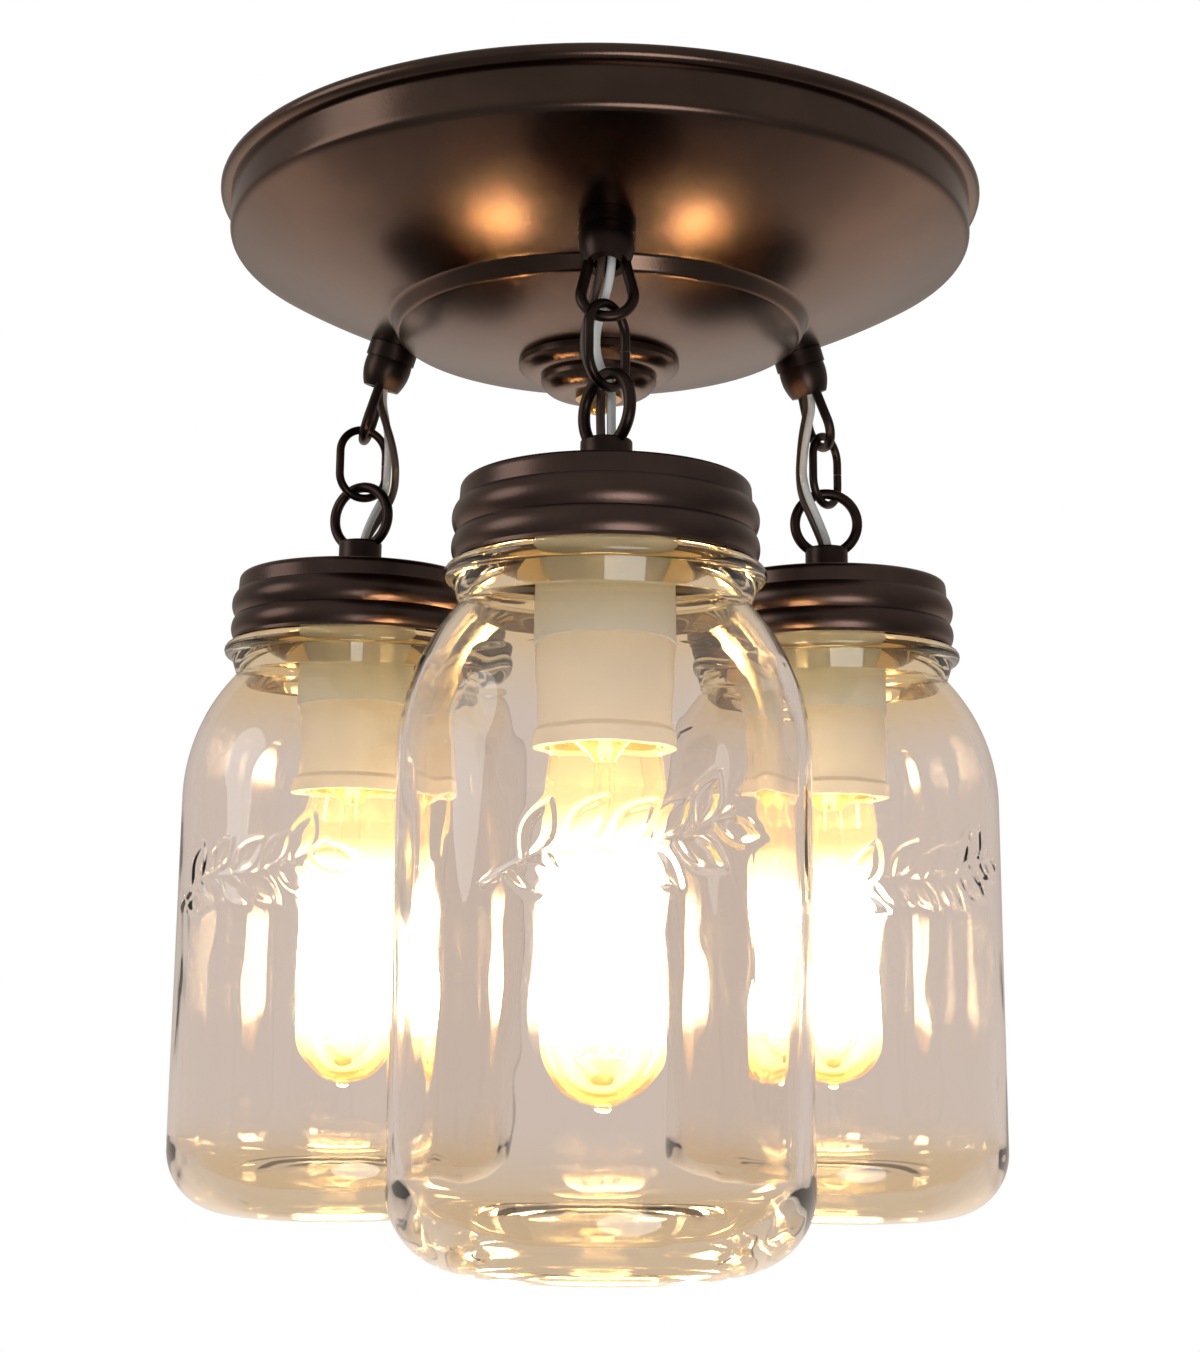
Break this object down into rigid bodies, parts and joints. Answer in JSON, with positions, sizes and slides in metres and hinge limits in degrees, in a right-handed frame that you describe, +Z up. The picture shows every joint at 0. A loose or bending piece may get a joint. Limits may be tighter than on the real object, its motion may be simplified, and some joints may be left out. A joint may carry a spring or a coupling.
{
  "type": "semi-flush jar ceiling light",
  "caption": "Semi-flush ceiling light: clear canning jars with ribbed screw bands hang on short chains from a domed bronze canopy, each round a tubular filament bulb.",
  "frame": {"origin": "centre of the crossbar's screw slots, on the light's axis in the plane of the ceiling", "axes": "+Z up into the ceiling, +X along the crossbar, -Y towards the viewer and the front jar"},
  "size_m": [0.2326, 0.2323, 0.2767],
  "materials": {
    "bronze": "satin oil-rubbed bronze with a copper sheen",
    "lid_bronze": "satin oil-rubbed bronze on rolled sheet",
    "knob_brass": "polished",
    "zinc_steel": "bright zinc plate",
    "ground_green": "green-dyed screw",
    "wire_nut_plastic": "moulded",
    "socket_grey": "moulded, pale grey",
    "socket_white": "white",
    "shell_brass": "pressed sheet",
    "bulb_glass": "clear, faintly amber",
    "mount_glass": "clear",
    "filament": "glowing wire",
    "jar_glass": "clear pressed glass",
    "white_lead": "insulated lead",
    "brown_lead": "insulated lead"
  },
  "bodies": {
    "ceiling_side": {"canopy": "bronze", "crossbar": "zinc_steel", "centre_stud": "zinc_steel", "lock_nuts": "zinc_steel", "ground_screw": "ground_green", "wire_nuts": "wire_nut_plastic", "bell_cap": "bronze", "finial_knob": "knob_brass", "canopy_loop_front": "bronze", "canopy_loop_left": "bronze", "canopy_loop_right": "bronze", "wire_white_front": "white_lead", "wire_brown_front": "brown_lead", "wire_white_left": "white_lead", "wire_brown_left": "brown_lead", "wire_white_right": "white_lead", "wire_brown_right": "brown_lead"},
    "link_front": {"chain_link_front": "bronze"},
    "lid_front": {"lid_ring_front": "bronze", "lid_disc_front": "lid_bronze", "lid_band_front": "lid_bronze", "lid_nipple_front": "zinc_steel", "lid_nut_front": "zinc_steel", "socket_cap_front": "socket_grey", "socket_body_front": "socket_white", "socket_shell_front": "shell_brass"},
    "bulb_front": {"bulb_base_front": "shell_brass", "bulb_glass_front": "bulb_glass", "bulb_mount_front": "mount_glass", "bulb_filament_front": "filament"},
    "jar_front": {"jar_front": "jar_glass"},
    "link_left": {"chain_link_left": "bronze"},
    "lid_left": {"lid_ring_left": "bronze", "lid_disc_left": "lid_bronze", "lid_band_left": "lid_bronze", "lid_nipple_left": "zinc_steel", "lid_nut_left": "zinc_steel", "socket_cap_left": "socket_grey", "socket_body_left": "socket_white", "socket_shell_left": "shell_brass"},
    "bulb_left": {"bulb_base_left": "shell_brass", "bulb_glass_left": "bulb_glass", "bulb_mount_left": "mount_glass", "bulb_filament_left": "filament"},
    "jar_left": {"jar_left": "jar_glass"},
    "link_right": {"chain_link_right": "bronze"},
    "lid_right": {"lid_ring_right": "bronze", "lid_disc_right": "lid_bronze", "lid_band_right": "lid_bronze", "lid_nipple_right": "zinc_steel", "lid_nut_right": "zinc_steel", "socket_cap_right": "socket_grey", "socket_body_right": "socket_white", "socket_shell_right": "shell_brass"},
    "bulb_right": {"bulb_base_right": "shell_brass", "bulb_glass_right": "bulb_glass", "bulb_mount_right": "mount_glass", "bulb_filament_right": "filament"},
    "jar_right": {"jar_right": "jar_glass"}
  },
  "joints": [
    {"name": "link_swing_front", "type": "hinge", "parent": "ceiling_side", "child": "link_front", "pos_m": [0, -0.07882, -0.05859], "axis": [1, 0, 0], "range_deg": [-25, 4], "deforming": ["wire_white_front", "wire_brown_front"]},
    {"name": "lid_swing_front", "type": "hinge", "parent": "link_front", "child": "lid_front", "pos_m": [0, -0.07882, -0.07609], "axis": [0.6428, 0.766, 0], "range_deg": [-8, 8]},
    {"name": "jar_removal_front", "type": "slide", "parent": "lid_front", "child": "jar_front", "axis": [0, 0, -1], "range_m": [0, 0.15]},
    {"name": "bulb_removal_front", "type": "slide", "parent": "lid_front", "child": "bulb_front", "axis": [0, 0, -1], "range_m": [0, 0.0185]},
    {"name": "link_swing_left", "type": "hinge", "parent": "ceiling_side", "child": "link_left", "pos_m": [-0.06826, 0.03941, -0.05859], "axis": [0.0264, 0.9848, 0.1719], "range_deg": [-4, 25], "deforming": ["wire_white_left", "wire_brown_left"]},
    {"name": "lid_swing_left", "type": "hinge", "parent": "link_left", "child": "lid_left", "pos_m": [-0.06826, 0.03941, -0.07609], "axis": [0.9063, 0.4226, 0], "range_deg": [-8, 8]},
    {"name": "jar_removal_left", "type": "slide", "parent": "lid_left", "child": "jar_left", "axis": [0, 0, -1], "range_m": [0, 0.15]},
    {"name": "bulb_removal_left", "type": "slide", "parent": "lid_left", "child": "bulb_left", "axis": [0, 0, -1], "range_m": [0, 0.0185]},
    {"name": "link_swing_right", "type": "hinge", "parent": "ceiling_side", "child": "link_right", "pos_m": [0.06826, 0.03941, -0.05859], "axis": [-0.32, 0.9447, 0.0715], "range_deg": [-25, 4], "deforming": ["wire_white_right", "wire_brown_right"]},
    {"name": "lid_swing_right", "type": "hinge", "parent": "link_right", "child": "lid_right", "pos_m": [0.06826, 0.03941, -0.07609], "axis": [-0.6157, -0.788, 0], "range_deg": [-8, 8]},
    {"name": "jar_removal_right", "type": "slide", "parent": "lid_right", "child": "jar_right", "axis": [0, 0, -1], "range_m": [0, 0.15]},
    {"name": "bulb_removal_right", "type": "slide", "parent": "lid_right", "child": "bulb_right", "axis": [0, 0, -1], "range_m": [0, 0.0185]}
  ]
}
